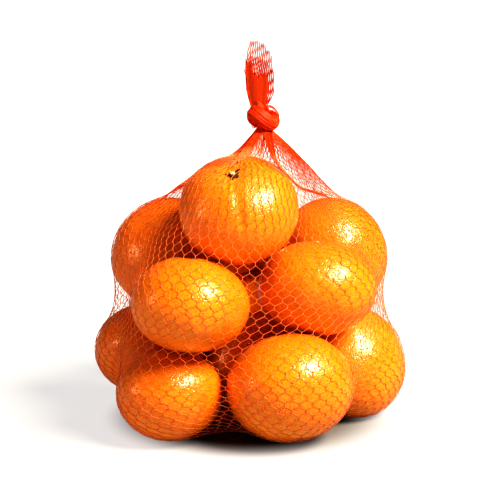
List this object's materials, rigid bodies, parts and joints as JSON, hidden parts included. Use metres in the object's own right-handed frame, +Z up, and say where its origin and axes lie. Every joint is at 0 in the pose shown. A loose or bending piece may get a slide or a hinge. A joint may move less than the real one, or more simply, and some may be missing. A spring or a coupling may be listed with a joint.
{
  "type": "net of oranges",
  "caption": "Small oranges held tight in a net bag of plastic thread, closed by an overhand knot with a short ruffled tail of net above it.",
  "frame": {"origin": "middle of the bag's outline on the ground it stands on", "axes": "+Z up through the knot and the tail; -Y is the front, the side with the top orange; +X is to the right seen from the front"},
  "size_m": [0.181, 0.1751, 0.2172],
  "materials": {
    "orange_peel": "satin waxy peel seen through the net",
    "net_plastic": "glossy extruded polyethylene thread"
  },
  "bodies": {
    "root": {"net_bag": "orange_peel", "knot": "net_plastic", "tail": "net_plastic"}
  },
  "joints": []
}
